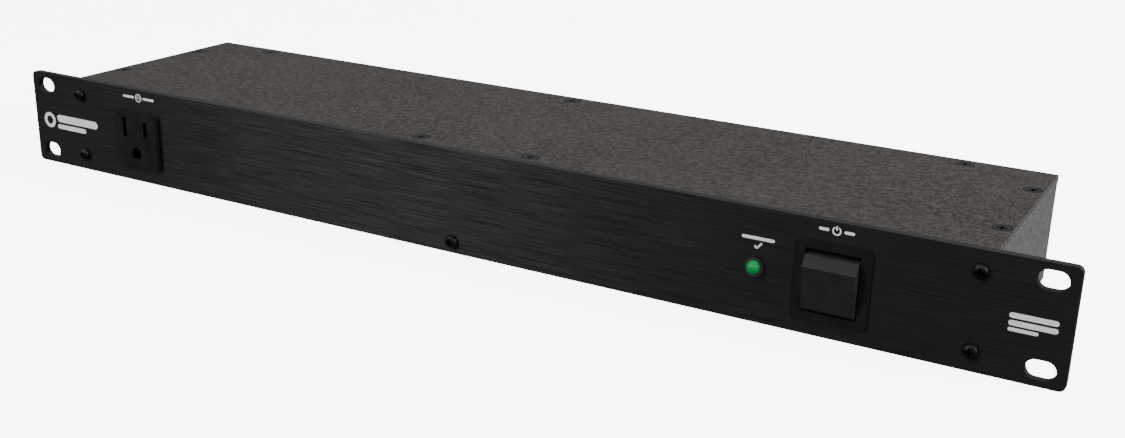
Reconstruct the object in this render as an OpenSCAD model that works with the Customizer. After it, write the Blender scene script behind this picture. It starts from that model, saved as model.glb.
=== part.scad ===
// Rack power strip, one rack unit high: a brushed front panel with one outlet, a status
// lamp and a rocker switch, and a sheet-steel box behind it with eight rear outlets, a
// reset breaker and a cord gland. Millimetres. The origin is the centre of the panel's
// rear face, which seats on the rack rails; +X is right, +Y is to the rear, +Z is up.

/* [Front panel] */
// Width of the front panel
panel_w = 482.6; // [482:0.1:484]
// Height of the front panel
panel_h = 44; // [43.6:0.1:44.4]
// Thickness of the front panel
panel_t = 3; // [2.5:0.1:3.6]
// Corner radius of the front panel
panel_r = 2.4; // [1:0.1:3]
// Distance between the rack slots across the panel
rack_pitch_x = 465.1; // [464.8:0.1:465.4]
// Distance between the rack slots up the panel
rack_pitch_z = 31.75; // [31.5:0.05:32]
// Height of a rack slot
slot_h = 7.1; // [6.6:0.1:7.2]
// End-to-end length of a rack slot
slot_l = 10.3; // [9:0.1:11]

/* [Chassis] */
// Outer width of the steel box
box_w = 428; // [424:1:430]
// Depth of the steel box behind the panel
box_d = 100.4; // [98:0.1:106]
// Outer height of the steel box, cover included
box_h = 42.8; // [42.4:0.1:43]
// Thickness of the sheet steel
sheet = 1.2; // [1:0.1:1.4]
// Width of the flanges that the cover lies on
flange = 13; // [12:0.5:15]
// Height of the lip at the rear of the cover
lip_h = 3.2; // [2.5:0.1:4]

/* [Front fittings] */
// Centre of the front outlet, to the side
outlet_x = -173.5; // [-180:0.5:-165]
// Height of an outlet's face centre above the panel's middle
outlet_z = -1.7; // [-2.5:0.1:0]
// Centre of the status lamp, to the side
lamp_x = 130.8; // [120:0.1:132]
// Height of the status lamp above the panel's middle
lamp_z = -0.4; // [-2:0.1:1]
// Centre of the rocker switch, to the side
switch_x = 159.4; // [155:0.1:162]
// Height of the rocker switch above the panel's middle
switch_z = -1.1; // [-2:0.1:0]
// Tilt of the rocker either side of its middle
rocker_tilt = 10; // [8:0.5:10]

/* [Rear fittings] */
// Distance between neighbouring rear outlets
rear_pitch = 44; // [42:0.5:45]
// Centre of the first rear outlet, to the side
rear_first_x = -192; // [-194:1:-190]
// Centre of the circuit breaker, to the side
breaker_x = 152; // [150:1:154]
// Centre of the cord gland, to the side
gland_x = 190; // [186:1:192]
// Radius of the hole that the cord passes through
gland_bore_r = 4.3; // [4:0.1:4.5]

/* [Hidden] */
$fn = 64;
eps = 0.01;

// Box levels
box_top = box_h / 2;
box_floor = -box_h / 2 + sheet;
flange_top = box_top - sheet;
flange_low = flange_top - sheet;

// Screws
panel_screw_x = 209.6;
panel_screw_z = 14.4;
middle_screw_z = -17;
panel_screws_at = [for (sx = [-1, 1], sz = [-1, 1]) [sx * panel_screw_x, sz * panel_screw_z],
                   [0, middle_screw_z]];
screw_r = 1.5;
screw_hole_r = 1.7;
pan_head_r = 2.8;
pan_head_h = 2.3;
cover_screws_at = concat(
    [for (x = [-22, 30.5]) [x, 7]],
    [for (x = [-179, 0, 179]) [x, box_d - 5]],
    [for (x = [-1, 1], y = [24.6, 75.4]) [x * 209.4, y]]);
flat_head_r = 3.5;
flat_head_h = 1.75;
flat_rim_r = flat_head_r - 0.32;
stud_at = [188.8, 27.6];
stud_head_r = 3.1;
stud_head_h = 0.8;
stud_r = 2;

// Outlets
outlet_w = 25.4;
outlet_h = 25.8;
outlet_proud = 2.2;
outlet_body_w = 23.8;
outlet_body_h = 24.2;
outlet_depth = 26;
outlet_face_t = 3.4;
blade_gap = 12.7;
blade_z = 5.8;
ground_z = -6.1;
ground_hole_r = 2.7;
hot_slot = [2.2, 7.2];
neutral_slot = [2.2, 9];
chamber = [5, 10.4];
tail_z = [8.6, 3, ground_z];
tail_end = outlet_depth + 4;
rear_count = 8;
rear_xs = [for (i = [0:rear_count - 1]) rear_first_x + i * rear_pitch];

// Switch: y and z measured from the rocker's pivot unless said otherwise
pivot_y = 7.2;
rocker_w = 19.6;
rocker_face = 13.4;
rocker_ridge = 8.4;
rocker_end = [9.8, 11.5];
rocker_back = [5, 11.5];
rocker_wall = 1.6;
trunnion_r = 1.5;
trunnion_hole_r = 1.55;
bezel_w = 28.4;
bezel_h = 29.8;
bezel_proud = 0.7;
bezel_open_h = 23.8;
switch_in_w = 20.2;
switch_body_w = 24.4;
switch_in_h = 27;
switch_body_h = 28.4;
switch_floor = 21.5;
switch_depth = 24;
terminal_gap = 7;
terminal_end = 33;
stem_r = 2.9;
plunger_tip = 9;
lever_tilt = 7.7;
lever_y = pivot_y + plunger_tip + 0.35;
lever_l = 17;

// Lamp
lamp_r = 2.5;
lamp_flange_r = 3.7;
lamp_sleeve_r = 3.1;

// Breaker and gland
rear_y = box_d;
breaker_z = 0;
breaker_neck_r = 5;
breaker_button_r = 3.4;
button_travel = 4;
gland_z = 0;

// Board
board = [118, 44, 1.6];
board_x = -44;
board_y = 16;
board_z = -14;
board_top = board_z + board[2];
standoff_in = 4;
standoffs_at = [for (x = [0, 1], y = [0, 1])
                [board_x + standoff_in + x * (board[0] - 2 * standoff_in),
                 board_y + standoff_in + y * (board[1] - 2 * standoff_in)]];

// ---------- shared shapes ----------

// A box centred on x and z, from y0 to y1
module slab(w, y0, y1, h, x = 0, z = 0) {
    translate([x - w / 2, y0, z - h / 2]) cube([w, y1 - y0, h]);
}

// A cylinder along Y, from y0 to y1
module rod_y(r, y0, y1, x = 0, z = 0, r2 = undef) {
    translate([x, y0, z]) rotate([-90, 0, 0])
        cylinder(r1 = r, r2 = is_undef(r2) ? r : r2, h = y1 - y0);
}

// A cylinder along Z, from z0 to z1
module rod_z(r, z0, z1, x = 0, y = 0, r2 = undef) {
    translate([x, y, z0]) cylinder(r1 = r, r2 = is_undef(r2) ? r : r2, h = z1 - z0);
}

// A rectangle with round corners, centred
module round_rect(w, h, r) {
    square([w - 2 * r, h], center = true);
    square([w, h - 2 * r], center = true);
    for (x = [-1, 1], y = [-1, 1]) translate([x * (w / 2 - r), y * (h / 2 - r)]) circle(r);
}

// The same outline standing in the XZ plane, from y0 to y1
module round_slab(w, h, r, y0, y1, x = 0, z = 0) {
    translate([x, y1, z]) rotate([90, 0, 0]) linear_extrude(y1 - y0) round_rect(w, h, r);
}

// A cross recess, cut down from z = 0
module cross_recess(size, depth) {
    for (a = [0, 90]) rotate([0, 0, a]) translate([-size / 2, -size / 8, -depth])
        cube([size, size / 4, depth + 1]);
}

// A pan-head screw along Z: the head sits on z = 0 and the shank hangs below
module pan_screw(head_r, head_h, shank_r, shank_l, recess = 3.4) {
    difference() {
        rotate_extrude() polygon([
            [0, -shank_l], [shank_r - 0.4, -shank_l], [shank_r, -shank_l + 0.5], [shank_r, 0], [head_r, 0],
            for (a = [0:15:90]) [head_r - head_h * 0.75 * (1 - cos(a)), head_h * (0.25 + 0.75 * sin(a))],
            [0, head_h]]);
        translate([0, 0, head_h]) cross_recess(recess, head_h * 0.62);
    }
}

// A flat-head screw along Z with its top at z = 0
module flat_screw(shank_l) {
    difference() {
        rotate_extrude() polygon([
            [0, -shank_l], [screw_r - 0.4, -shank_l], [screw_r, -shank_l + 0.5],
            [screw_r, -flat_head_h + 0.1], [flat_rim_r, -0.2], [flat_rim_r, 0], [0, 0]]);
        cross_recess(3.6, 1.2);
    }
}

// A tube of radius r swept along a path, its rings carried from point to point without twist
function unit(v) = v / norm(v);
function path_dir(p, i) = unit(p[min(i + 1, len(p) - 1)] - p[max(i - 1, 0)]);
function side_of(d) = abs(d[2]) < 0.9 ? unit(cross(d, [0, 0, 1])) : unit(cross(d, [1, 0, 0]));
function sides_along(p, i = 0, u = undef) = i >= len(p) ? [] :
    let (d = path_dir(p, i), v = is_undef(u) ? side_of(d) : unit(u - (u * d) * d))
    concat([v], sides_along(p, i + 1, v));
module tube_along(p, r, sides = 8) {
    n = len(p);
    u = sides_along(p);
    rings = [for (i = [0:n - 1]) let (v = cross(u[i], path_dir(p, i)))
             [for (k = [0:sides - 1]) p[i] + r * (cos(360 * k / sides) * u[i] + sin(360 * k / sides) * v)]];
    polyhedron(
        [for (ring = rings) each ring],
        concat(
            [[for (k = [sides - 1:-1:0]) k]],
            [[for (k = [0:sides - 1]) (n - 1) * sides + k]],
            [for (i = [0:n - 2], k = [0:sides - 1])
             let (a = i * sides + k, b = i * sides + (k + 1) % sides) [a, b, b + sides, a + sides]]));
}

// Points of a path with its corners rounded by a quadratic curve
function round_path(p, cut = 5, steps = 4) = concat(
    [p[0]],
    [for (i = [1:len(p) - 2])
     let (a = p[i] + cut * unit(p[i - 1] - p[i]), b = p[i] + cut * unit(p[i + 1] - p[i]))
     for (s = [0:steps]) let (t = s / steps) (1 - t) * (1 - t) * a + 2 * t * (1 - t) * p[i] + t * t * b],
    [p[len(p) - 1]]);

// ---------- front panel and its fasteners ----------

module rack_slot() {
    square([slot_l - slot_h, slot_h], center = true);
    for (x = [-1, 1]) translate([x * (slot_l - slot_h) / 2, 0]) circle(slot_h / 2);
}

module front_panel() {
    color([0.07, 0.07, 0.075]) difference() {
        round_slab(panel_w, panel_h, panel_r, -panel_t, 0);
        for (x = [-1, 1], z = [-1, 1]) translate([x * rack_pitch_x / 2, 1, z * rack_pitch_z / 2])
            rotate([90, 0, 0]) linear_extrude(panel_t + 2) rack_slot();
        for (p = panel_screws_at) rod_y(screw_hole_r, -panel_t - 1, 1, p[0], p[1]);
        slab(outlet_body_w + 0.4, -panel_t - 1, 1, outlet_body_h + 0.4, outlet_x, outlet_z);
        slab(switch_body_w + 0.4, -panel_t - 1, 1, switch_body_h + 0.4, switch_x, switch_z);
        rod_y(lamp_sleeve_r + 0.1, -panel_t - 1, 1, lamp_x, lamp_z);
    }
}

module panel_screws() {
    color([0.05, 0.05, 0.05]) for (p = panel_screws_at)
        translate([p[0], -panel_t, p[1]]) rotate([90, 0, 0])
            pan_screw(pan_head_r, pan_head_h, screw_r, panel_t + sheet + 5);
}

module panel_nuts() {
    color("silver") for (p = panel_screws_at) difference() {
        union() {
            rod_y(2.3, 0.2, sheet, p[0], p[1]);
            rod_y(3.1, sheet, sheet + 2.6, p[0], p[1]);
        }
        rod_y(screw_r + 0.05, 0, sheet + 3, p[0], p[1]);
    }
}

// ---------- steel box ----------

module tray_walls() {
    slab(box_w, 0, box_d, sheet, 0, -box_top + sheet / 2);
    for (x = [-1, 1]) slab(sheet, 0, box_d, box_h - sheet, x * (box_w - sheet) / 2, -sheet / 2);
    for (y = [0, box_d - sheet]) slab(box_w, y, y + sheet, box_h - sheet, 0, -sheet / 2);
    for (y = [0, box_d - flange]) slab(box_w, y, y + flange, sheet, 0, flange_top - sheet / 2);
    for (x = [-1, 1]) slab(flange, 0, box_d, sheet, x * (box_w - flange) / 2, flange_top - sheet / 2);
}

module chassis_tray() {
    color([0.12, 0.12, 0.125]) difference() {
        tray_walls();
        for (p = panel_screws_at) rod_y(2.35, -1, sheet + 1, p[0], p[1]);
        slab(outlet_body_w + 0.4, -1, sheet + 1, outlet_body_h + 0.4, outlet_x, outlet_z);
        slab(switch_body_w + 0.4, -1, sheet + 1, switch_body_h + 0.4, switch_x, switch_z);
        rod_y(lamp_sleeve_r + 0.1, -1, sheet + 1, lamp_x, lamp_z);
        for (x = rear_xs)
            slab(outlet_body_w + 0.4, box_d - sheet - 1, box_d + 1, outlet_body_h + 0.4, x, outlet_z);
        rod_y(breaker_neck_r + 0.1, box_d - sheet - 1, box_d + 1, breaker_x, breaker_z);
        rod_y(gland_bore_r + 3.3, box_d - sheet - 1, box_d + 1, gland_x, gland_z);
        for (p = cover_screws_at) {
            rod_z(screw_hole_r, flange_low - 1, flange_top + 1, p[0], p[1]);
            rod_z(screw_r, box_top - flat_head_h, box_top, p[0], p[1], flat_head_r);
        }
        for (p = standoffs_at) rod_z(2.05, -box_top - 1, box_floor + 1, p[0], p[1]);
    }
}

module top_cover() {
    color([0.16, 0.16, 0.165]) difference() {
        union() {
            slab(box_w, 0, box_d, sheet, 0, box_top - sheet / 2);
            slab(box_w, box_d, box_d + sheet, lip_h, 0, box_top - lip_h / 2);
        }
        for (p = cover_screws_at) {
            rod_z(screw_hole_r, flange_top - 1, box_top + 1, p[0], p[1]);
            rod_z(screw_r, box_top - flat_head_h, box_top + eps, p[0], p[1], flat_head_r + eps);
        }
        rod_z(stud_head_r + 0.1, box_top - stud_head_h, box_top + 1, stud_at[0], stud_at[1]);
        rod_z(stud_r + 0.1, flange_top - 1, box_top + 1, stud_at[0], stud_at[1]);
    }
}

module cover_screws() {
    color([0.1, 0.1, 0.1]) for (p = cover_screws_at)
        translate([p[0], p[1], box_top - 0.05]) flat_screw(7);
}

module ground_stud() {
    color("silver") {
        rod_z(stud_head_r, box_top - stud_head_h, box_top - 0.04, stud_at[0], stud_at[1]);
        rod_z(stud_r, box_top - 13, box_top - stud_head_h, stud_at[0], stud_at[1]);
    }
}

module ground_nut() {
    color("silver") difference() {
        translate([stud_at[0], stud_at[1], flange_top - 3.2]) cylinder(r = 4, h = 3.2, $fn = 6);
        rod_z(stud_r + 0.05, flange_top - 4, flange_top + 1, stud_at[0], stud_at[1]);
    }
}

// ---------- outlets ----------

// An outlet facing -Y: the back of its face flange is at y = 0, and its face centre at x = z = 0
module outlet_body() {
    difference() {
        union() {
            round_slab(outlet_w, outlet_h, 1.2, -outlet_proud, 0);
            slab(outlet_body_w, 0, outlet_depth, outlet_body_h);
        }
        slab(hot_slot[0], -outlet_proud - 1, outlet_face_t, hot_slot[1], blade_gap / 2, blade_z);
        slab(neutral_slot[0], -outlet_proud - 1, outlet_face_t, neutral_slot[1], -blade_gap / 2, blade_z);
        rod_y(ground_hole_r, -outlet_proud - 1, outlet_face_t, 0, ground_z);
        slab(2 * ground_hole_r, -outlet_proud - 1, outlet_face_t, ground_hole_r,
             0, ground_z - ground_hole_r / 2);
        for (x = [-1, 1]) slab(chamber[0], outlet_face_t - eps, outlet_depth + 1, chamber[1],
                               x * blade_gap / 2, blade_z);
        slab(7, outlet_face_t - eps, outlet_depth + 1, 7, 0, ground_z - 1);
    }
}

// A folded spring contact: two leaves joined at the back, with a tail out of the outlet
module contact(x, z, leaf_h, gap, tail_at) {
    for (s = [-1, 1]) slab(0.7, outlet_face_t + 0.6, outlet_depth - 4, leaf_h, x + s * (gap + 0.7) / 2, z);
    slab(gap + 1.4, outlet_depth - 4, outlet_depth - 3, leaf_h, x, z);
    slab(1.2, outlet_depth - 3, tail_end, 2.4, x, tail_at);
}

module outlet_contacts() {
    color([0.8, 0.66, 0.3]) {
        contact(blade_gap / 2, blade_z, 8.4, 1.7, tail_z[0]);
        contact(-blade_gap / 2, blade_z, 8.4, 1.7, tail_z[1]);
        contact(0, ground_z - 0.6, 4.8, 4.6, tail_z[2]);
    }
}

module at_front() { translate([outlet_x, -panel_t, outlet_z]) children(); }
module at_rear(i) { translate([rear_xs[i], rear_y, outlet_z]) rotate([0, 0, 180]) children(); }

module front_outlet_body() { color([0.06, 0.06, 0.06]) at_front() outlet_body(); }
module front_outlet_contacts() { at_front() outlet_contacts(); }
module rear_outlet_body(i) { color([0.06, 0.06, 0.06]) at_rear(i) outlet_body(); }
module rear_outlet_contacts(i) { at_rear(i) outlet_contacts(); }

// A flat bar that joins one tail of every rear outlet
bus_y = rear_y - tail_end;
module bus(x_shift, z, extra) {
    slab(rear_xs[rear_count - 1] - rear_xs[0] + 6 + extra, bus_y - 1.4, bus_y, 3,
         (rear_xs[0] + rear_xs[rear_count - 1] + extra) / 2 + x_shift, outlet_z + z);
}
module line_bus() { color([0.75, 0.45, 0.25]) bus(-blade_gap / 2, tail_z[0], 18); }
module neutral_bus() { color([0.78, 0.7, 0.5]) bus(blade_gap / 2, tail_z[1], 6); }
module ground_bus() { color([0.7, 0.5, 0.3]) bus(0, tail_z[2], 24); }

// ---------- rocker switch ----------

module at_pivot() { translate([switch_x, pivot_y, switch_z]) children(); }
// Draws an outline of [y, z] points as a solid of width w across x
module side_profile(w, points) {
    rotate([90, 0, 90]) translate([0, 0, -w / 2]) linear_extrude(w) polygon(points);
}
// The rocker's outline, moved in by m
function rocker_outline(m) = [
    [-rocker_face + m, -rocker_ridge + m / 2], [-rocker_face + m, rocker_ridge - m / 2],
    [-rocker_end[0] + m / 2, rocker_end[1] - m], [-rocker_back[0] + (m > 0 ? 1 : 0), rocker_back[1] - m],
    [-rocker_back[0] + (m > 0 ? 1 : 0), -rocker_back[1] + m], [-rocker_end[0] + m / 2, -rocker_end[1] + m]];

module switch_rocker() {
    color([0.06, 0.06, 0.06]) at_pivot() rotate([rocker_tilt, 0, 0]) {
        difference() {
            union() {
                difference() {
                    side_profile(rocker_w, rocker_outline(0));
                    side_profile(rocker_w - 2 * rocker_wall, rocker_outline(rocker_wall));
                }
                for (x = [-1, 1]) {
                    slab(rocker_wall, -rocker_back[0] - 1, 2.6, 6, x * (rocker_w - rocker_wall) / 2);
                    rotate([0, x * 90, 0]) cylinder(r = trunnion_r, h = rocker_w / 2 + 1.4);
                }
                rod_y(stem_r, -rocker_face + 0.5, 3);
            }
            rod_y(stem_r - 1, -8, 4);
        }
    }
}

module switch_spring() {
    turns = 4;
    per_turn = 12;
    coil = [for (i = [0:turns * per_turn]) let (a = 360 * i / per_turn, t = i / (turns * per_turn))
            [1.3 * cos(a), -7.6 + 8.6 * t, 1.3 * sin(a)]];
    color("silver") at_pivot() rotate([rocker_tilt, 0, 0]) tube_along(coil, 0.3, 6);
}

module switch_plunger() {
    color([0.85, 0.85, 0.8]) at_pivot() rotate([rocker_tilt, 0, 0]) {
        rod_y(stem_r - 1.05, 1.4, plunger_tip - 1.2);
        translate([0, plunger_tip - 1.2, 0]) sphere(1.2);
    }
}

module switch_contact_lever() {
    color([0.8, 0.5, 0.3]) translate([switch_x, lever_y, switch_z]) rotate([-lever_tilt, 0, 0]) {
        slab(5, 0, 0.9, lever_l);
        for (z = [-1, 1]) rod_y(1.5, 0.9, 1.9, 0, z * (terminal_gap - 0.1));
    }
}

module switch_terminals() {
    color([0.8, 0.66, 0.3]) for (z = [-1, 0, 1] * terminal_gap) {
        slab(6.3, switch_floor, terminal_end, 0.8, switch_x, switch_z + z);
        if (z == 0) slab(2, lever_y + 1.3, switch_floor, 0.8, switch_x, switch_z);
        else rod_y(1.5, 19.7, switch_floor, switch_x, switch_z + z);
    }
}

module switch_housing() {
    color([0.06, 0.06, 0.06]) difference() {
        union() {
            round_slab(bezel_w, bezel_h, 1.5, -panel_t - bezel_proud, -panel_t, switch_x, switch_z);
            slab(switch_body_w, -panel_t, switch_depth, switch_body_h, switch_x, switch_z);
        }
        slab(switch_in_w, -panel_t - bezel_proud - 1, 0, bezel_open_h, switch_x, switch_z);
        slab(switch_in_w, -panel_t, switch_floor, switch_in_h, switch_x, switch_z);
        at_pivot() rotate([0, 90, 0]) cylinder(r = trunnion_hole_r, h = switch_body_w + 1, center = true);
        for (z = [-1, 0, 1] * terminal_gap) slab(6.4, 21, switch_depth + 1, 0.9, switch_x, switch_z + z);
    }
}

// ---------- status lamp ----------

module lamp_holder() {
    color([0.08, 0.08, 0.08]) difference() {
        union() {
            rod_y(lamp_flange_r, -panel_t - 0.9, -panel_t, lamp_x, lamp_z);
            rod_y(lamp_sleeve_r, -panel_t, 5, lamp_x, lamp_z);
        }
        rod_y(lamp_r + 0.05, -panel_t - 2, 6, lamp_x, lamp_z);
    }
}

module status_lamp() {
    color([0.1, 0.6, 0.3]) translate([lamp_x, -panel_t, lamp_z]) {
        rod_y(lamp_r, -1.4, 5.4);
        intersection() {
            translate([0, -1.4, 0]) sphere(lamp_r);
            rod_y(lamp_r + 1, -1.4 - lamp_r, -1.4 + eps);
        }
        rod_y(2.9, 8.1, 9.3);
        rod_y(lamp_r, 5.4 - eps, 8.1 + eps);
    }
}

module lamp_leads() {
    color("silver") for (x = [-1.27, 1.27])
        slab(0.5, 6.3, 16, 0.5, lamp_x + x, lamp_z);
}

// ---------- filter board ----------

module circuit_board() {
    color([0.1, 0.35, 0.18]) difference() {
        translate([board_x, board_y, board_z]) cube(board);
        for (p = standoffs_at) rod_z(1.7, board_z - 1, board_top + 1, p[0], p[1]);
    }
}

module board_standoffs() {
    color("silver") for (p = standoffs_at) difference() {
        union() {
            translate([p[0], p[1], box_floor]) cylinder(r = 3.2, h = board_z - box_floor, $fn = 6);
            rod_z(2, -box_top + 0.1, box_floor, p[0], p[1]);
        }
        rod_z(1.45, box_floor + 0.8, board_z + 1, p[0], p[1]);
    }
}

module board_screws() {
    color("silver") for (p = standoffs_at) translate([p[0], p[1], board_top])
        pan_screw(2.8, 1.9, 1.4, 6, 2.8);
}

choke_at = [-16, 39];
module choke_core() {
    color([0.2, 0.2, 0.22]) translate([choke_at[0], choke_at[1], board_top + 1.5]) difference() {
        cylinder(r = 15, h = 12);
        translate([0, 0, -1]) cylinder(r = 8, h = 14);
    }
}

// Winding turns: square loops of wire around the ring, with the core's corner clear
module choke_winding() {
    turns_at = [for (s = [0, 180], a = [-60:15:60]) s + a];
    color([0.72, 0.38, 0.15]) translate([choke_at[0], choke_at[1], board_top]) for (a = turns_at)
        rotate([0, 0, a]) difference() {
            translate([6.2, -0.6, 0.1]) cube([10.4, 1.2, 14.9]);
            translate([7.6, -1, 1.3]) cube([7.6, 2, 12.5]);
        }
}

module filter_capacitor() {
    color([0.85, 0.7, 0.12]) translate([12, 26, board_top + 0.3]) difference() {
        cube([26, 11, 19]);
        for (x = [-0.01, 24.51]) translate([x, -1, -1]) cube([1.5, 13, 2]);
    }
}

module varistors() {
    color([0.15, 0.3, 0.6]) for (x = [46, 55, 64]) {
        translate([x, 40, board_top + 10.5]) rotate([0, 90, 0]) cylinder(r = 8, h = 4.4);
        for (y = [-3.75, 3.75]) rod_z(0.4, board_top + 0.05, board_top + 4, x + 2.2, 40 + y);
    }
}

module thermal_fuse() {
    color([0.75, 0.75, 0.72]) {
        translate([46, 24, board_top + 3]) rotate([0, 90, 0]) cylinder(r = 2, h = 12);
        for (x = [43, 58]) translate([x, 24, board_top + 3]) rotate([0, 90, 0]) cylinder(r = 0.5, h = 3);
        for (x = [43.5, 60.5]) rod_z(0.5, board_top + 0.05, board_top + 3.2, x, 24);
    }
}

module bleed_resistor() {
    color([0.78, 0.66, 0.48]) {
        translate([16, 46, board_top + 3.4]) rotate([0, 90, 0]) cylinder(r = 2.6, h = 14);
        for (x = [13, 30]) translate([x, 46, board_top + 3.4]) rotate([0, 90, 0]) cylinder(r = 0.4, h = 3);
        for (x = [13.4, 32.6]) rod_z(0.4, board_top + 0.05, board_top + 3.4, x, 46);
    }
}

terminals_at = [-31, 2, 37, 61];
module board_terminals() {
    color("silver") for (x = terminals_at) {
        translate([x - 3.15, 20, board_top + 0.05]) cube([6.3, 0.8, 9]);
        translate([x - 3.15, 18, board_top + 0.05]) cube([6.3, 2, 0.6]);
    }
}

// ---------- breaker and gland ----------

module breaker_body() {
    color([0.06, 0.06, 0.06]) difference() {
        union() {
            slab(16, rear_y - sheet - 24, rear_y - sheet, 27, breaker_x, breaker_z);
            rod_y(breaker_neck_r, rear_y - sheet, rear_y + 6, breaker_x, breaker_z);
        }
        rod_y(breaker_button_r + 0.05, rear_y - 10, rear_y + 7, breaker_x, breaker_z);
    }
    color([0.8, 0.66, 0.3]) for (z = [-7, 7])
        slab(6.3, rear_y - sheet - 33, rear_y - sheet - 24, 0.8, breaker_x, breaker_z + z);
}

module breaker_nut() {
    color([0.06, 0.06, 0.06]) difference() {
        union() {
            translate([breaker_x, rear_y + 3.2, breaker_z]) rotate([90, 0, 0])
                cylinder(r = 8, h = 3.2, $fn = 6);
            rod_y(6.6, rear_y, rear_y + 4, breaker_x, breaker_z);
        }
        rod_y(breaker_neck_r + 0.05, rear_y - 1, rear_y + 5, breaker_x, breaker_z);
    }
}

module breaker_button() {
    color([0.12, 0.12, 0.12]) {
        rod_y(breaker_button_r, rear_y - 9, rear_y + 7.4, breaker_x, breaker_z);
        rod_y(breaker_button_r, rear_y + 7.4, rear_y + 8, breaker_x, breaker_z, breaker_button_r - 0.6);
    }
}

module cord_gland() {
    color([0.06, 0.06, 0.06]) difference() {
        union() {
            rod_y(gland_bore_r + 3.2, rear_y - sheet - 6, rear_y, gland_x, gland_z);
            rod_y(gland_bore_r + 5, rear_y, rear_y + 2.4, gland_x, gland_z);
            rod_y(gland_bore_r + 3.6, rear_y + 2.4, rear_y + 9, gland_x, gland_z, gland_bore_r + 2);
        }
        rod_y(gland_bore_r, rear_y - sheet - 7, rear_y + 10, gland_x, gland_z);
    }
}

// ---------- hook-up wires ----------

wire_r = 1.3;
module wire(p, r = wire_r, cut = 4) { tube_along(round_path(p, cut), r); }

tab_top = board_top + 9.2;
bus_front = bus_y - 1.5;
line_z = outlet_z + tail_z[0];
neutral_z = outlet_z + tail_z[1];
earth_z = outlet_z + tail_z[2];
front_tail_y = tail_end - panel_t + 0.1;
breaker_tab_y = rear_y - sheet - 33.1;
gland_in_y = rear_y - sheet - 6.4;
switch_tab_y = terminal_end + 0.1;

module line_wires() {
    color([0.08, 0.08, 0.08]) {
        wire([[gland_x - 1.8, gland_in_y, 1.6], [gland_x - 1.8, 60, 1.6], [breaker_x, 57, -7],
              [breaker_x, breaker_tab_y, -7]]);
        wire([[breaker_x, breaker_tab_y, 7], [breaker_x, 50, 7], [switch_x, 43, switch_z + terminal_gap],
              [switch_x, switch_tab_y, switch_z + terminal_gap]], cut = 3);
        wire([[switch_x, switch_tab_y, switch_z], [switch_x, 41, switch_z], [100, 30, 2],
              [terminals_at[3], 20.4, 4], [terminals_at[3], 20.4, tab_top]], cut = 3);
        wire([[terminals_at[1], 20.4, tab_top], [terminals_at[1], 20.4, 13], [terminals_at[1], 56, 13],
              [terminals_at[1], 62, line_z], [terminals_at[1], bus_front, line_z]], cut = 3);
        wire([[outlet_x + blade_gap / 2, front_tail_y, line_z], [outlet_x + blade_gap / 2, 40, line_z],
              [-160, 60, line_z], [-160, bus_front, line_z]]);
    }
}

module neutral_wires() {
    color([0.9, 0.9, 0.88]) {
        wire([[gland_x + 1.8, gland_in_y, 1.6], [gland_x + 1.8, 72, 1.6], [188, 67, 12], [90, 34, 12],
              [terminals_at[2], 20.4, 12], [terminals_at[2], 20.4, tab_top]]);
        wire([[terminals_at[0], 20.4, tab_top], [terminals_at[0], 20.4, 10], [-40, 56, 10],
              [-40, 61, neutral_z], [-40, bus_front, neutral_z]], cut = 3);
        wire([[outlet_x - blade_gap / 2, front_tail_y, neutral_z],
              [outlet_x - blade_gap / 2, 40, neutral_z],
              [-175, 60, neutral_z], [-175, bus_front, neutral_z]]);
    }
}

// The earth leads meet at a ring lug on the cover's stud
lug_r = 3.8;
lug_z = [14.8, 15.8];
lug_mid = (lug_z[0] + lug_z[1]) / 2;
module ground_wires() {
    color([0.15, 0.5, 0.2]) {
        wire([[gland_x, gland_in_y, -1.8], [gland_x, 60, -1.8], [stud_at[0], 42, lug_mid],
              [stud_at[0], stud_at[1] + lug_r + 0.05, lug_mid]]);
        wire([[stud_at[0] - lug_r - 0.05, stud_at[1], lug_mid], [176, stud_at[1], lug_mid], [172, 40, -16],
              [141, 58, -16], [141, 62, earth_z], [141, bus_front, earth_z]], cut = 3);
        wire([[outlet_x, front_tail_y, earth_z], [outlet_x, 40, earth_z], [-168, 60, earth_z],
              [-168, bus_front, earth_z]]);
    }
    color("silver") difference() {
        rod_z(lug_r, lug_z[0], lug_z[1], stud_at[0], stud_at[1]);
        rod_z(stud_r + 0.05, lug_z[0] - 1, lug_z[1] + 1, stud_at[0], stud_at[1]);
    }
}

module lamp_wires() {
    color([0.6, 0.1, 0.1]) for (s = [-1, 1])
        wire([[lamp_x + s * 1.27, 16.1, lamp_z], [lamp_x + s * 1.27, 24 + s * 1.3, lamp_z],
              [100, 28 + s * 1.5, -8], [71.5, 28 + s * 1.5, -8],
              [71.5, 28 + s * 1.5, board_top + 0.1]], 0.6, 3);
}

front_panel();
panel_screws();
panel_nuts();
chassis_tray();
top_cover();
cover_screws();
ground_stud();
ground_nut();
front_outlet_body();
front_outlet_contacts();
for (i = [0:rear_count - 1]) {
    rear_outlet_body(i);
    rear_outlet_contacts(i);
}
line_bus();
neutral_bus();
ground_bus();
switch_housing();
switch_rocker();
switch_plunger();
switch_spring();
switch_contact_lever();
switch_terminals();
lamp_holder();
status_lamp();
lamp_leads();
circuit_board();
board_standoffs();
board_screws();
choke_core();
choke_winding();
filter_capacitor();
varistors();
thermal_fuse();
bleed_resistor();
board_terminals();
breaker_body();
breaker_nut();
breaker_button();
cord_gland();
line_wires();
neutral_wires();
ground_wires();
lamp_wires();
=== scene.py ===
import math

import bmesh
import bpy
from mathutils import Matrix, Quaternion, Vector


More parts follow.
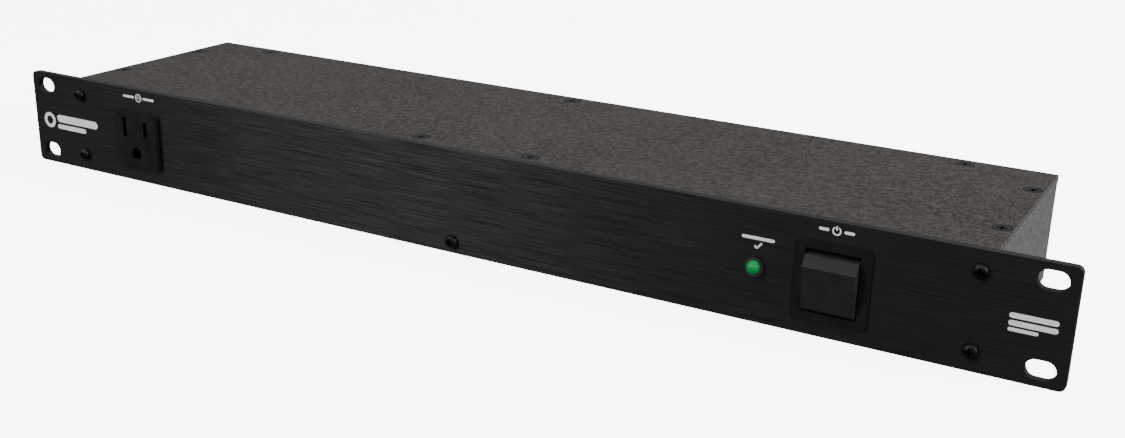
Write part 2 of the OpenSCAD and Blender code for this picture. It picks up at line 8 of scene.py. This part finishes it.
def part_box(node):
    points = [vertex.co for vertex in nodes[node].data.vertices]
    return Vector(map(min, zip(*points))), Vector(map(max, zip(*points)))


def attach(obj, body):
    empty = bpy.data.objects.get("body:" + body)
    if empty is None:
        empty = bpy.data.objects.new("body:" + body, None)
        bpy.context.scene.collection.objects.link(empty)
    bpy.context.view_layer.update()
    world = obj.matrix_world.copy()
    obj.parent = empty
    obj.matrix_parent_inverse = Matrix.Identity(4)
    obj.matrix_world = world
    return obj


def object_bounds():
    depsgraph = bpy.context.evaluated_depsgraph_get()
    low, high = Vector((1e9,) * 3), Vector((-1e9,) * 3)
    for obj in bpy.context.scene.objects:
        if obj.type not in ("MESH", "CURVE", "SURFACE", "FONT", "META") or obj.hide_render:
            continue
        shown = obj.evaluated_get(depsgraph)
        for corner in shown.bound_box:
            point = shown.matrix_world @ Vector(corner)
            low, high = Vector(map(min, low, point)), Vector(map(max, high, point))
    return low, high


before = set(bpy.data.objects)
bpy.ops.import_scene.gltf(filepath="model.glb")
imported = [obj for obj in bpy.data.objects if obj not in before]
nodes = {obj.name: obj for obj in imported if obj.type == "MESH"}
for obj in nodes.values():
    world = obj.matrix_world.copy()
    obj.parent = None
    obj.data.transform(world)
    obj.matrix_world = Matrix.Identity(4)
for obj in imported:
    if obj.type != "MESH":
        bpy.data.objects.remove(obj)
cad_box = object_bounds()
MM = 0.001

SMOOTH_BELOW = math.radians(30)
BEVEL_ABOVE = math.radians(40)
BEVEL_SEGMENTS = 2
WEAR_CELLS = 700.0
# Noise in cells per metre: long along X, the way that the panel is brushed, and short across it
BRUSH_ALONG, BRUSH_FINE, BRUSH_LINE = 34.0, 3400.0, 2000.0
# The stretches of a noise's 0 to 1 that most colours and roughnesses are mapped from
STREAK = (0.4, 0.6)
PATCHY = (0.3, 0.7)
WEAVE_LONG, WEAVE_SHORT = 2200.0, 300.0
FLOOR_HALF = 6
FLOOR_GLOW = 6.0

# ---------- node helpers ----------


class Shader:
    """A Principled material whose nodes are added by name."""

    def __init__(self, name, **values):
        self.mat = bpy.data.materials.new(name)
        self.mat.use_nodes = True
        self.tree = self.mat.node_tree
        self.bsdf = self.tree.nodes["Principled BSDF"]
        self.coords = self.tree.nodes.new("ShaderNodeTexCoord").outputs["Object"]
        for socket, value in values.items():
            self.bsdf.inputs[socket.replace("_", " ")].default_value = value

    def node(self, kind, **inputs):
        made = self.tree.nodes.new(kind)
        for socket, value in inputs.items():
            self.set(made.inputs[socket.replace("_", " ")], value)
        return made

    def set(self, socket, value):
        if isinstance(value, bpy.types.NodeSocket):
            self.tree.links.new(value, socket)
        else:
            socket.default_value = value

    def scaled(self, x, y, z):
        """The object's coordinates, stretched by a scale per axis, in cells per metre."""
        made = self.node("ShaderNodeMapping", Vector=self.coords)
        made.inputs["Scale"].default_value = (x, y, z)
        return made.outputs["Vector"]

    def noise(self, scale, detail=2.0, rough=0.5):
        """Noise from 0 to 1, with one scale, or one per axis, in cells per metre."""
        scale = scale if isinstance(scale, tuple) else (scale, scale, scale)
        made = self.node("ShaderNodeTexNoise", Vector=self.scaled(*scale), Scale=1.0,
                         Detail=detail, Roughness=rough)
        return made.outputs["Fac"]

    def ramp(self, value, low, high, to_low=0.0, to_high=1.0):
        """Value mapped from low..high to to_low..to_high, and held outside that."""
        made = self.node("ShaderNodeMapRange", Value=value)
        for socket, number in (("From Min", low), ("From Max", high),
                               ("To Min", to_low), ("To Max", to_high)):
            self.set(made.inputs[socket], number)
        return made.outputs["Result"]

    def math(self, operation, a, b=0.0):
        made = self.tree.nodes.new("ShaderNodeMath")
        made.operation = operation
        self.set(made.inputs[0], a)
        self.set(made.inputs[1], b)
        return made.outputs[0]

    def mix(self, factor, a, b):
        """A colour between a and b."""
        made = self.tree.nodes.new("ShaderNodeMix")
        made.data_type = "RGBA"
        self.set(made.inputs["Factor"], factor)
        for socket, value in (("A", a), ("B", b)):
            target = next(s for s in made.inputs if s.name == socket and s.type == "RGBA")
            self.set(target, value)
        return next(s for s in made.outputs if s.type == "RGBA")

    def bump(self, height, distance, strength=1.0, over=None):
        made = self.node("ShaderNodeBump", Height=height, Distance=distance, Strength=strength)
        if over is not None:
            self.set(made.inputs["Normal"], over)
        return made.outputs["Normal"]

    def edge_wear_and_highlight(self, lo, hi, width):
        """1 on the edges of the box lo..hi and 0 further than width from them, broken up by noise; it
        lightens edges as rubbed wear plus a painted edge highlight.
        """
        split = self.node("ShaderNodeSeparateXYZ", Vector=self.coords)
        gaps = []
        for axis in range(3):
            low = self.math("ABSOLUTE", self.math("SUBTRACT", split.outputs[axis], lo[axis]))
            high = self.math("ABSOLUTE", self.math("SUBTRACT", split.outputs[axis], hi[axis]))
            gaps.append(self.math("MINIMUM", low, high))
        small = self.math("MINIMUM", gaps[0], gaps[1])
        large = self.math("MAXIMUM", gaps[0], gaps[1])
        middle = self.math("MAXIMUM", small, self.math("MINIMUM", large, gaps[2]))
        broken = self.ramp(self.noise(WEAR_CELLS, 4.0), 0.35, 0.7, 0.35, 1.0)
        return self.math("MULTIPLY", self.ramp(middle, width * 0.3, width, 1.0, 0.0), broken)

    def rim(self, x, y, radius, width):
        """1 on a circle about an upright axis at (x, y), and 0 further than width from it."""
        flat = self.node("ShaderNodeVectorMath")
        flat.operation = "MULTIPLY"
        self.set(flat.inputs[0], self.coords)
        flat.inputs[1].default_value = (1, 1, 0)
        away = self.tree.nodes.new("ShaderNodeVectorMath")
        away.operation = "DISTANCE"
        self.set(away.inputs[0], flat.outputs["Vector"])
        away.inputs[1].default_value = (x, y, 0)
        gap = self.math("ABSOLUTE", self.math("SUBTRACT", away.outputs["Value"], radius))
        return self.ramp(gap, width * 0.4, width, 0.85, 0.0)


def grey(value):
    return (value, value, value, 1.0)


# ---------- materials ----------


def brushed_panel(lo, hi):
    """Black anodised aluminium, brushed along X, with slightly lighter edges: partly rubbed wear, partly
    a painted edge highlight.
    """
    s = Shader("brushed_black_anodise", Metallic=0.6, Anisotropic=0.95, Specular_IOR_Level=0.15,
               Specular_Tint=grey(0.5))
    tangent = s.tree.nodes.new("ShaderNodeTangent")
    tangent.direction_type, tangent.axis = "RADIAL", "X"
    s.set(s.bsdf.inputs["Tangent"], tangent.outputs[0])
    fine = s.noise((BRUSH_ALONG, BRUSH_FINE, BRUSH_FINE), 3.0, 0.65)
    line = s.noise((BRUSH_ALONG, BRUSH_LINE, BRUSH_LINE), 3.0, 0.6)
    cloud = s.noise(14.0, 2.0)
    streak = s.math("ADD", s.math("MULTIPLY", fine, 0.4), s.math("MULTIPLY", line, 0.6))
    colour = s.mix(s.ramp(streak, *STREAK), (0.0185, 0.0185, 0.019, 1), (0.030, 0.030, 0.031, 1))
    colour = s.mix(s.ramp(cloud, *PATCHY, 0.0, 0.3), colour, grey(0.026))
    # Lighter edges: partly rubbed wear, partly a painted edge highlight
    colour = s.mix(s.edge_wear_and_highlight(lo, hi, 0.35 * MM), colour, grey(0.04))
    s.set(s.bsdf.inputs["Base Color"], colour)
    s.set(s.bsdf.inputs["Roughness"], s.ramp(streak, *STREAK, 0.24, 0.42))
    s.set(s.bsdf.inputs["Normal"], s.bump(streak, 0.03 * MM, 0.8))
    return s.mat


def powder_coat(name, dark, light, worn_and_lit, lo, hi, gap_shade_rings=()):
    """Fine-grained powder coat: a pebbled skin, small speckle, slightly lighter edges that are partly
    rubbed wear and partly a painted edge highlight, and a dark line of painted shade round each circle
    given as (x, y, radius), standing in for the shadow in the gap round a screw head or stud."""
    s = Shader(name, Metallic=0.0, Specular_IOR_Level=0.15)
    grain = s.noise(950.0, 3.0, 0.75)
    peel = s.noise(480.0, 2.0)
    patch = s.noise(26.0, 3.0)
    speck = s.math("ADD", s.math("MULTIPLY", grain, 0.65), s.math("MULTIPLY", peel, 0.35))
    colour = s.mix(s.ramp(speck, 0.4, 0.6), dark, light)
    colour = s.mix(s.ramp(patch, 0.35, 0.7, 0.0, 0.25), colour, light)
    # Lighter edges: partly rubbed wear, partly a painted edge highlight
    colour = s.mix(s.edge_wear_and_highlight(lo, hi, 0.4 * MM), colour, worn_and_lit)
    # Painted shade: a near-black ring round each screw head and the stud, where the gap round it would
    # fall in shadow
    for x, y, radius in gap_shade_rings:
        colour = s.mix(s.rim(x, y, radius, 0.45 * MM), colour, grey(0.002))
    s.set(s.bsdf.inputs["Base Color"], colour)
    s.set(s.bsdf.inputs["Roughness"], s.ramp(grain, *PATCHY, 0.5, 0.68))
    coarse = s.bump(peel, 0.05 * MM, 0.5)
    s.set(s.bsdf.inputs["Normal"], s.bump(grain, 0.045 * MM, 0.8, coarse))
    return s.mat


def plastic(name, colour, rough=0.45, grain=3200.0, depth=0.02, spread=0.25, **values):
    """Moulded plastic with a spark-eroded grain and faint handling marks."""
    s = Shader(name, **values)
    fine = s.noise(grain, 2.0, 0.6)
    patch = s.noise(160.0, 3.0)
    lighter = tuple(min(1.0, c * (1 + spread) + 0.001) for c in colour[:3]) + (1.0,)
    darker = tuple(c * (1 - spread) for c in colour[:3]) + (1.0,)
    s.set(s.bsdf.inputs["Base Color"], s.mix(s.ramp(patch, *PATCHY), darker, lighter))
    s.set(s.bsdf.inputs["Roughness"], s.ramp(patch, *PATCHY, rough - 0.06, rough + 0.08))
    s.set(s.bsdf.inputs["Normal"], s.bump(fine, depth * MM, 0.7))
    return s.mat


def metal(name, dark, light, rough=0.3, scale=(900.0, 900.0, 900.0), depth=0.01):
    """Bare or plated metal with tarnish, fine scratches and an uneven polish."""
    s = Shader(name, Metallic=1.0)
    tarnish = s.noise(220.0, 4.0)
    scratch = s.noise(scale, 4.0, 0.7)
    s.set(s.bsdf.inputs["Base Color"], s.mix(s.ramp(tarnish, *PATCHY), dark, light))
    s.set(s.bsdf.inputs["Roughness"], s.ramp(scratch, *PATCHY, rough - 0.08, rough + 0.12))
    s.set(s.bsdf.inputs["Normal"], s.bump(scratch, depth * MM, 0.5))
    return s.mat


def lens_green():
    """Tinted, diffused lamp lens that glows a little from inside."""
    s = Shader("green_lens", Roughness=0.3, Specular_IOR_Level=0.15, Emission_Strength=0.16)
    glow = s.noise(900.0, 1.0)
    s.set(s.bsdf.inputs["Base Color"], s.mix(glow, (0.003, 0.14, 0.03, 1), (0.006, 0.2, 0.05, 1)))
    s.set(s.bsdf.inputs["Emission Color"], s.mix(glow, (0.0, 0.26, 0.05, 1), (0.01, 0.42, 0.1, 1)))
    return s.mat


def ink():
    """Screen-printed white ink: slightly uneven cover and a dry surface."""
    s = Shader("white_ink", Roughness=0.55)
    cover = s.noise(1500.0, 3.0)
    s.set(s.bsdf.inputs["Base Color"], s.mix(s.ramp(cover, *PATCHY), grey(0.68), grey(0.86)))
    s.set(s.bsdf.inputs["Normal"], s.bump(cover, 0.01 * MM, 0.5))
    return s.mat


def board():
    """Glass-epoxy board under green solder mask, with the weave just showing."""
    s = Shader("solder_mask", Roughness=0.32)
    weave = s.math("MULTIPLY", s.noise((WEAVE_LONG, WEAVE_SHORT, WEAVE_SHORT)),
                   s.noise((WEAVE_SHORT, WEAVE_LONG, WEAVE_SHORT)))
    mask = s.mix(s.ramp(weave, 0.15, 0.35), (0.01, 0.08, 0.03, 1), (0.02, 0.14, 0.05, 1))
    s.set(s.bsdf.inputs["Base Color"], mask)
    s.set(s.bsdf.inputs["Normal"], s.bump(weave, 0.02 * MM, 0.6))
    return s.mat


def floor_paint():
    s = Shader("pale_floor", Roughness=0.9, Emission_Strength=FLOOR_GLOW)
    s.set(s.bsdf.inputs["Base Color"], s.mix(s.ramp(s.noise(3.0), *PATCHY), grey(0.9), grey(0.93)))
    return s.mat


def islands(name):
    """The (x, y, radius) of each separate solid of a node, seen from above."""
    bm = bmesh.new()
    bm.from_mesh(nodes[name].data)
    left, found = set(bm.verts), []
    while left:
        stack, group = [left.pop()], []
        while stack:
            vert = stack.pop()
            group.append(vert.co)
            for edge in vert.link_edges:
                other = edge.other_vert(vert)
                if other in left:
                    left.remove(other)
                    stack.append(other)
        x0, x1 = min(c.x for c in group), max(c.x for c in group)
        y0, y1 = min(c.y for c in group), max(c.y for c in group)
        found.append(((x0 + x1) / 2, (y0 + y1) / 2, (x1 - x0) / 2))
    bm.free()
    return sorted(found)


PANEL = brushed_panel(*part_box("front_panel"))
# Circles for painted shade, standing in for the shadow in the gap round each cover screw and the ground
# stud
GAP_SHADE_RINGS = [(x, y, radius + 0.25 * MM) for x, y, radius in islands("cover_screws")]
GAP_SHADE_RINGS += [(x, y, radius + 0.1 * MM) for x, y, radius in islands("ground_stud")[:1]]
COVER = powder_coat("charcoal_powder", (0.003, 0.0024, 0.002, 1), (0.032, 0.029, 0.0263, 1), grey(0.06),
                    *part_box("top_cover"), GAP_SHADE_RINGS)
TRAY = powder_coat("black_powder", grey(0.022), grey(0.060), grey(0.10), *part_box("chassis_tray"))
BLACK_OXIDE = metal("black_oxide", grey(0.010), grey(0.026), 0.46)
ZINC = metal("zinc_plate", (0.42, 0.42, 0.40, 1), (0.62, 0.62, 0.60, 1), 0.32)
BRASS = metal("brass", (0.55, 0.38, 0.12, 1), (0.78, 0.58, 0.24, 1), 0.28)
COPPER = metal("copper", (0.50, 0.20, 0.09, 1), (0.80, 0.38, 0.20, 1), 0.3)
TIN = metal("tinned", grey(0.5), grey(0.68), 0.3)
SPRING = metal("spring_wire", grey(0.4), grey(0.6), 0.22)
BLACK = plastic("black_moulding", grey(0.008), 0.5, Specular_IOR_Level=0.1)
ROCKER = plastic("rocker_moulding", grey(0.018), 0.55, 2600.0, 0.035, 0.12, Specular_IOR_Level=0.08)
BUTTON = plastic("button_moulding", grey(0.012), 0.45, Specular_IOR_Level=0.3)
HOLDER = metal("lamp_rim_nickel", grey(0.07), grey(0.12), 0.3)
LENS = lens_green()
INK = ink()

FINISHES = {
    "front_panel": PANEL, "top_cover": COVER, "chassis_tray": TRAY,
    "panel_screws": BLACK_OXIDE, "cover_screws": BLACK_OXIDE,
    "panel_nuts": ZINC, "ground_stud": COVER, "ground_nut": ZINC, "board_standoffs": ZINC,
    "board_screws": ZINC, "switch_housing": BLACK, "switch_rocker": ROCKER, "breaker_body": BLACK,
    "breaker_nut": BLACK, "breaker_button": BUTTON, "cord_gland": BLACK, "front_outlet_body": BLACK,
    "front_outlet_contacts": BRASS, "switch_terminals": BRASS, "neutral_bus": BRASS,
    "line_bus": COPPER, "ground_bus": COPPER, "switch_contact_lever": COPPER, "choke_winding": COPPER,
    "switch_spring": SPRING, "lamp_leads": TIN, "board_terminals": TIN,
    "lamp_holder": HOLDER, "status_lamp": LENS, "circuit_board": board(),
    "switch_plunger": plastic("nylon", (0.7, 0.68, 0.6, 1), 0.4, spread=0.06),
    "choke_core": plastic("ferrite", grey(0.05), 0.6, 1800.0, 0.05),
    "filter_capacitor": plastic("capacitor_case", (0.55, 0.36, 0.03, 1), 0.35, spread=0.1),
    "varistors": plastic("varistor_epoxy", (0.03, 0.08, 0.3, 1), 0.3, 700.0, 0.05, 0.15),
    "thermal_fuse": plastic("fuse_ceramic", (0.6, 0.6, 0.56, 1), 0.3, spread=0.06),
    "bleed_resistor": plastic("resistor_lacquer", (0.5, 0.34, 0.18, 1), 0.3, spread=0.1),
    "line_wires": plastic("black_insulation", grey(0.02), 0.4),
    "neutral_wires": plastic("white_insulation", grey(0.62), 0.4, spread=0.06),
    "ground_wires": plastic("green_insulation", (0.02, 0.2, 0.04, 1), 0.4),
    "lamp_wires": plastic("red_insulation", (0.35, 0.02, 0.02, 1), 0.4),
}
for name in nodes:
    if name.startswith("rear_outlet_body"):
        FINISHES[name] = BLACK
    elif name.startswith("rear_outlet_contacts"):
        FINISHES[name] = BRASS

# Rounding of each visible part's edges, in millimetres
ROUNDED = {"front_panel": 0.25, "top_cover": 0.3, "chassis_tray": 0.3, "switch_rocker": 0.45,
           "switch_housing": 0.3, "front_outlet_body": 0.3, "breaker_button": 0.25, "breaker_nut": 0.25,
           "cord_gland": 0.3, "lamp_holder": 0.15, "panel_screws": 0.06, "cover_screws": 0.05}


def finish_node(name, node):
    """Gives a CAD node its material, smooth shading and rounded edges."""
    mesh = node.data
    mesh.materials.clear()
    mesh.materials.append(FINISHES[name])
    for face in mesh.polygons:
        face.use_smooth = True
        face.material_index = 0
    mesh.set_sharp_from_angle(angle=SMOOTH_BELOW)
    radius = 0.3 if name.startswith("rear_outlet_body") else ROUNDED.get(name)
    if radius:
        bevel = node.modifiers.new("edges", "BEVEL")
        bevel.width = radius * MM
        bevel.segments = BEVEL_SEGMENTS
        bevel.limit_method = "ANGLE"
        bevel.angle_limit = BEVEL_ABOVE
        bevel.harden_normals = True


for name, node in nodes.items():
    finish_node(name, node)

# ---------- printed marks ----------

INK_DEPTH = 0.04 * MM


def mark(name, outlines, centre, front):
    """Closed (x, z) outlines in millimetres, printed as a thin skin on the panel's face."""
    bm = bmesh.new()
    for outline in outlines:
        ring = [bm.verts.new((centre[0] + x * MM, front, centre[1] + z * MM)) for x, z in outline]
        bm.faces.new(ring)
    made = bmesh.ops.extrude_face_region(bm, geom=bm.faces[:])
    moved = [v for v in made["geom"] if isinstance(v, bmesh.types.BMVert)]
    bmesh.ops.translate(bm, vec=(0, -INK_DEPTH, 0), verts=moved)
    bmesh.ops.recalc_face_normals(bm, faces=bm.faces[:])
    mesh = bpy.data.meshes.new(name)
    bm.to_mesh(mesh)
    bm.free()
    mesh.materials.append(INK)
    piece = bpy.data.objects.new(name, mesh)
    bpy.context.scene.collection.objects.link(piece)
    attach(piece, "chassis")


def bar(w, h, x=0.0, z=0.0, tilt=0.0):
    """A rectangle's outline, turned by tilt degrees."""
    c, s = math.cos(math.radians(tilt)), math.sin(math.radians(tilt))
    corners = [(-w / 2, -h / 2), (w / 2, -h / 2), (w / 2, h / 2), (-w / 2, h / 2)]
    return [(x + a * c - b * s, z + a * s + b * c) for a, b in corners]


def pill(w, h, x=0.0, z=0.0, steps=10):
    """A bar with round ends."""
    r = h / 2
    right = [(x + w / 2 - r + r * math.cos(a), z + r * math.sin(a))
             for a in (math.pi * (i / steps - 0.5) for i in range(steps + 1))]
    return right + [(2 * x - a, 2 * z - b) for a, b in right]


def arc(r, width, start, end, x=0.0, z=0.0, pieces=24):
    """A ring's stretch from start to end degrees, as short outlines."""
    angles = [math.radians(start + (end - start) * i / pieces) for i in range(pieces + 1)]
    inner, outer = r - width / 2, r + width / 2

    def point(radius, a):
        return (x + radius * math.cos(a), z + radius * math.sin(a))

    return [[point(inner, a), point(outer, a), point(outer, b), point(inner, b)]
            for a, b in zip(angles, angles[1:])]


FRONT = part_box("front_panel")[0].y


def centre_of(name):
    lo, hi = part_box(name)
    return ((lo.x + hi.x) / 2, (lo.z + hi.z) / 2)


outlet_at = centre_of("front_outlet_body")
lamp_at = centre_of("lamp_holder")
switch_at = centre_of("switch_housing")
panel_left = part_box("front_panel")[0].x
panel_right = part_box("front_panel")[1].x

# A plain badge: a thick ring beside two bars with round ends
mark("badge_mark", arc(2.9, 1.7, 0, 360, -14.2) + [pill(27, 3.6, 4.4, 1.6), pill(19, 2.2, 0.4, -2.4)],
     (panel_left + 23.3 * MM, -1.0 * MM), FRONT)
# A socket symbol between two dashes
mark("outlet_mark", arc(1.7, 0.45, 0, 360) + [bar(0.5, 1.3, -0.6, 0.1), bar(0.5, 1.3, 0.6, 0.1),
     pill(6.8, 1.1, -6.2), pill(6.8, 1.1, 6.2)], (outlet_at[0] + 1.5 * MM, 18.2 * MM), FRONT)
# A tick below a short rule
mark("lamp_mark", [bar(1.3, 0.7, -0.8, -2.0, -45), bar(2.7, 0.7, 0.6, -1.4, 50), pill(12.6, 1.2, 0, 1.3)],
     (lamp_at[0] + 0.6 * MM, 9.0 * MM), FRONT)
# The usual on-off symbol, an open ring with an upright bar, between two dashes
mark("switch_mark", arc(1.4, 0.55, 120, 420) + [bar(0.6, 1.6, 0, 1.0), pill(3.8, 1.1, -4.6),
     pill(3.8, 1.1, 4.6)], (switch_at[0] + 0.4 * MM, 18.6 * MM), FRONT)
# Three short rules
mark("end_mark", [pill(16, 1.9, 0, 2.0), pill(16, 1.9, 0, -0.7), pill(10, 1.3, -3.0, -3.0)],
     (panel_right - 12.9 * MM, -0.6 * MM), FRONT)

# ---------- stage ----------


def area_light(name, place, aim, size, power):
    data = bpy.data.lights.new(name, "AREA")
    data.shape = "RECTANGLE"
    data.size, data.size_y = size
    data.energy = power
    lamp = bpy.data.objects.new(name, data)
    lamp.location = place
    lamp.rotation_mode = "QUATERNION"
    lamp.rotation_quaternion = (Vector(aim) - Vector(place)).to_track_quat("-Z", "Y")
    bpy.context.scene.collection.objects.link(lamp)
    return lamp


def make_floor(level):
    mesh = bpy.data.meshes.new("floor")
    far = FLOOR_HALF
    corners = [(-far, -far, level), (far, -far, level), (far, far, level), (-far, far, level)]
    mesh.from_pydata(corners, [], [(0, 1, 2, 3)])
    mesh.materials.append(floor_paint())
    made = bpy.data.objects.new("floor", mesh)
    made.visible_diffuse = made.visible_glossy = False
    bpy.context.scene.collection.objects.link(made)


def make_world(horizon, zenith):
    """A sky that goes from one grey at the horizon to a lighter one overhead."""
    world = bpy.data.worlds.new("studio")
    world.use_nodes = True
    tree = world.node_tree
    coords = tree.nodes.new("ShaderNodeTexCoord")
    split = tree.nodes.new("ShaderNodeSeparateXYZ")
    height = tree.nodes.new("ShaderNodeMapRange")
    height.inputs["From Min"].default_value = 0.1
    height.inputs["From Max"].default_value = 0.8
    height.inputs["To Min"].default_value = horizon
    height.inputs["To Max"].default_value = zenith
    tree.links.new(coords.outputs["Generated"], split.inputs["Vector"])
    tree.links.new(split.outputs["Z"], height.inputs["Value"])
    tree.links.new(height.outputs["Result"], tree.nodes["Background"].inputs["Strength"])
    tree.nodes["Background"].inputs["Color"].default_value = (1, 1, 1, 1)
    bpy.context.scene.world = world


make_floor(cad_box[0].z)
make_world(0.3, 1.0)
area_light("overhead", (0.2, 0.3, 2.4), (0, 0, 0), (2.4, 2.0), 27.5)
area_light("brush_sheen", (-1.27, -1.5, 1.2), (-0.04, 0, 0), (0.58, 1.3), 42)
area_light("right_side", (1.6, 0.2, 0.7), (0.2, 0.05, 0), (0.9, 0.9), 75)
# A low strip behind the object, below its top, so that it lights the rear but not the top
rear_strip = area_light("rear_strip", (-0.3, 1.5, 0.0), (-0.05, 0.1, 0), (1.8, 0.034), 5)
rear_strip.visible_camera = False

# ---------- camera ----------

CAMERA_AT = Vector((293.8, -439.5, 174.8)) * MM
AZIMUTH, ELEVATION, ROLL = (math.radians(a) for a in (29.06, 19.05, 1.42))
# In millimetres
SENSOR_WIDTH, FOCAL_LENGTH = 36, 43.8272

camera = bpy.data.objects.new("camera", bpy.data.cameras.new("camera"))
bpy.context.scene.collection.objects.link(camera)
camera.data.sensor_width = SENSOR_WIDTH
camera.data.lens = FOCAL_LENGTH
back = Vector((math.sin(AZIMUTH) * math.cos(ELEVATION),
               -math.cos(AZIMUTH) * math.cos(ELEVATION), math.sin(ELEVATION)))
camera.rotation_mode = "QUATERNION"
camera.rotation_quaternion = (-back).to_track_quat("-Z", "Y") @ Quaternion((0, 0, 1), ROLL)
camera.location = CAMERA_AT
camera.data.clip_start = 0.01
bpy.context.scene.camera = camera
